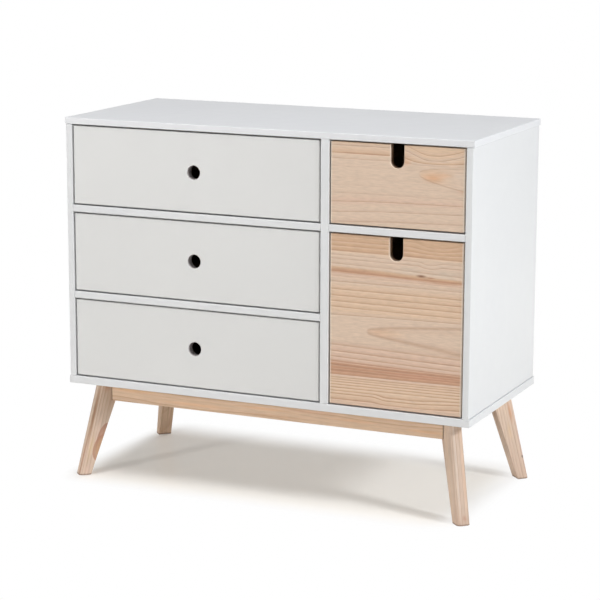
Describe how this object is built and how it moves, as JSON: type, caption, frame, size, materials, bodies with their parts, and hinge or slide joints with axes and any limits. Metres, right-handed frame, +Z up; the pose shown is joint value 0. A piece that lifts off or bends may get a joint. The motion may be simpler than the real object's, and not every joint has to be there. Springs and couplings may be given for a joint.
{
  "type": "drawer cabinet",
  "caption": "Low lacquered drawer cabinet on splayed pine legs, with off-white fronts with finger holes and pine fronts with finger notches.",
  "frame": {"origin": "on the floor, under the middle of the cabinet", "axes": "+X to the right along the front, +Y from the front to the back, +Z up"},
  "size_m": [1, 0.45, 0.854],
  "materials": {
    "white_lacquer": "satin white lacquer on board",
    "front_lacquer": "matt off-white lacquer on board",
    "pine": "natural pine, matt varnish",
    "box_pine": "plain pale pine, sanded",
    "plywood": "thin plywood, sanded",
    "hardboard": "white-faced hardboard",
    "beech": "grooved beech dowel",
    "white_steel": "white powder coat",
    "zinc_steel": "bright zinc plate",
    "nylon": "white nylon"
  },
  "bodies": {
    "case": {"top_panel": "white_lacquer", "bottom_panel": "white_lacquer", "left_side_panel": "white_lacquer", "right_side_panel": "white_lacquer", "divider": "white_lacquer", "upper_left_rail": "white_lacquer", "lower_left_rail": "white_lacquer", "right_rail": "white_lacquer", "back_panel": "hardboard", "case_dowels": "beech", "case_runners": "white_steel", "front_apron": "pine", "back_apron": "pine", "corner_blocks": "box_pine", "base_fasteners": "zinc_steel", "front_left_leg": "pine", "front_right_leg": "pine", "back_left_leg": "pine", "back_right_leg": "pine"},
    "top_left_drawer": {"top_left_front": "front_lacquer", "top_left_left_side": "box_pine", "top_left_right_side": "box_pine", "top_left_back": "box_pine", "top_left_bottom": "plywood", "top_left_runners": "white_steel"},
    "top_left_case_rollers": {"top_left_case_rollers": "nylon"},
    "top_left_drawer_rollers": {"top_left_drawer_rollers": "nylon"},
    "middle_left_drawer": {"middle_left_front": "front_lacquer", "middle_left_left_side": "box_pine", "middle_left_right_side": "box_pine", "middle_left_back": "box_pine", "middle_left_bottom": "plywood", "middle_left_runners": "white_steel"},
    "middle_left_case_rollers": {"middle_left_case_rollers": "nylon"},
    "middle_left_drawer_rollers": {"middle_left_drawer_rollers": "nylon"},
    "bottom_left_drawer": {"bottom_left_front": "front_lacquer", "bottom_left_left_side": "box_pine", "bottom_left_right_side": "box_pine", "bottom_left_back": "box_pine", "bottom_left_bottom": "plywood", "bottom_left_runners": "white_steel"},
    "bottom_left_case_rollers": {"bottom_left_case_rollers": "nylon"},
    "bottom_left_drawer_rollers": {"bottom_left_drawer_rollers": "nylon"},
    "small_right_drawer": {"small_right_front": "pine", "small_right_left_side": "box_pine", "small_right_right_side": "box_pine", "small_right_back": "box_pine", "small_right_bottom": "plywood", "small_right_runners": "white_steel"},
    "small_right_case_rollers": {"small_right_case_rollers": "nylon"},
    "small_right_drawer_rollers": {"small_right_drawer_rollers": "nylon"},
    "tall_right_drawer": {"tall_right_front": "pine", "tall_right_left_side": "box_pine", "tall_right_right_side": "box_pine", "tall_right_back": "box_pine", "tall_right_bottom": "plywood", "tall_right_runners": "white_steel"},
    "tall_right_case_rollers": {"tall_right_case_rollers": "nylon"},
    "tall_right_drawer_rollers": {"tall_right_drawer_rollers": "nylon"}
  },
  "joints": [
    {"name": "top_left_slide", "type": "slide", "parent": "case", "child": "top_left_drawer", "axis": [0, -1, 0], "range_m": [0, 0.3]},
    {"name": "top_left_case_rollers_spin", "type": "hinge", "parent": "case", "child": "top_left_case_rollers", "pos_m": [-0.169, -0.189, 0.67763], "axis": [1, 0, 0], "range_deg": [0, 1700]},
    {"name": "top_left_drawer_rollers_spin", "type": "hinge", "parent": "top_left_drawer", "child": "top_left_drawer_rollers", "pos_m": [-0.169, 0.181, 0.67763], "axis": [1, 0, 0], "range_deg": [0, 1700]},
    {"name": "middle_left_slide", "type": "slide", "parent": "case", "child": "middle_left_drawer", "axis": [0, -1, 0], "range_m": [0, 0.3]},
    {"name": "middle_left_case_rollers_spin", "type": "hinge", "parent": "case", "child": "middle_left_case_rollers", "pos_m": [-0.169, -0.189, 0.47397], "axis": [1, 0, 0], "range_deg": [0, 1700]},
    {"name": "middle_left_drawer_rollers_spin", "type": "hinge", "parent": "middle_left_drawer", "child": "middle_left_drawer_rollers", "pos_m": [-0.169, 0.181, 0.47397], "axis": [1, 0, 0], "range_deg": [0, 1700]},
    {"name": "bottom_left_slide", "type": "slide", "parent": "case", "child": "bottom_left_drawer", "axis": [0, -1, 0], "range_m": [0, 0.3]},
    {"name": "bottom_left_case_rollers_spin", "type": "hinge", "parent": "case", "child": "bottom_left_case_rollers", "pos_m": [-0.169, -0.189, 0.2703], "axis": [1, 0, 0], "range_deg": [0, 1700]},
    {"name": "bottom_left_drawer_rollers_spin", "type": "hinge", "parent": "bottom_left_drawer", "child": "bottom_left_drawer_rollers", "pos_m": [-0.169, 0.181, 0.2703], "axis": [1, 0, 0], "range_deg": [0, 1700]},
    {"name": "small_right_slide", "type": "slide", "parent": "case", "child": "small_right_drawer", "axis": [0, -1, 0], "range_m": [0, 0.3]},
    {"name": "small_right_case_rollers_spin", "type": "hinge", "parent": "case", "child": "small_right_case_rollers", "pos_m": [0.323, -0.189, 0.67763], "axis": [1, 0, 0], "range_deg": [0, 1700]},
    {"name": "small_right_drawer_rollers_spin", "type": "hinge", "parent": "small_right_drawer", "child": "small_right_drawer_rollers", "pos_m": [0.323, 0.181, 0.67763], "axis": [1, 0, 0], "range_deg": [0, 1700]},
    {"name": "tall_right_slide", "type": "slide", "parent": "case", "child": "tall_right_drawer", "axis": [0, -1, 0], "range_m": [0, 0.3]},
    {"name": "tall_right_case_rollers_spin", "type": "hinge", "parent": "case", "child": "tall_right_case_rollers", "pos_m": [0.323, -0.189, 0.2703], "axis": [1, 0, 0], "range_deg": [0, 1700]},
    {"name": "tall_right_drawer_rollers_spin", "type": "hinge", "parent": "tall_right_drawer", "child": "tall_right_drawer_rollers", "pos_m": [0.323, 0.181, 0.2703], "axis": [1, 0, 0], "range_deg": [0, 1700]}
  ],
  "couplings": [
    {"joint": "top_left_case_rollers_spin", "follows": "top_left_slide", "rad_per_m": 95.238},
    {"joint": "top_left_drawer_rollers_spin", "follows": "top_left_slide", "rad_per_m": 95.238},
    {"joint": "middle_left_case_rollers_spin", "follows": "middle_left_slide", "rad_per_m": 95.238},
    {"joint": "middle_left_drawer_rollers_spin", "follows": "middle_left_slide", "rad_per_m": 95.238},
    {"joint": "bottom_left_case_rollers_spin", "follows": "bottom_left_slide", "rad_per_m": 95.238},
    {"joint": "bottom_left_drawer_rollers_spin", "follows": "bottom_left_slide", "rad_per_m": 95.238},
    {"joint": "small_right_case_rollers_spin", "follows": "small_right_slide", "rad_per_m": 95.238},
    {"joint": "small_right_drawer_rollers_spin", "follows": "small_right_slide", "rad_per_m": 95.238},
    {"joint": "tall_right_case_rollers_spin", "follows": "tall_right_slide", "rad_per_m": 95.238},
    {"joint": "tall_right_drawer_rollers_spin", "follows": "tall_right_slide", "rad_per_m": 95.238}
  ]
}
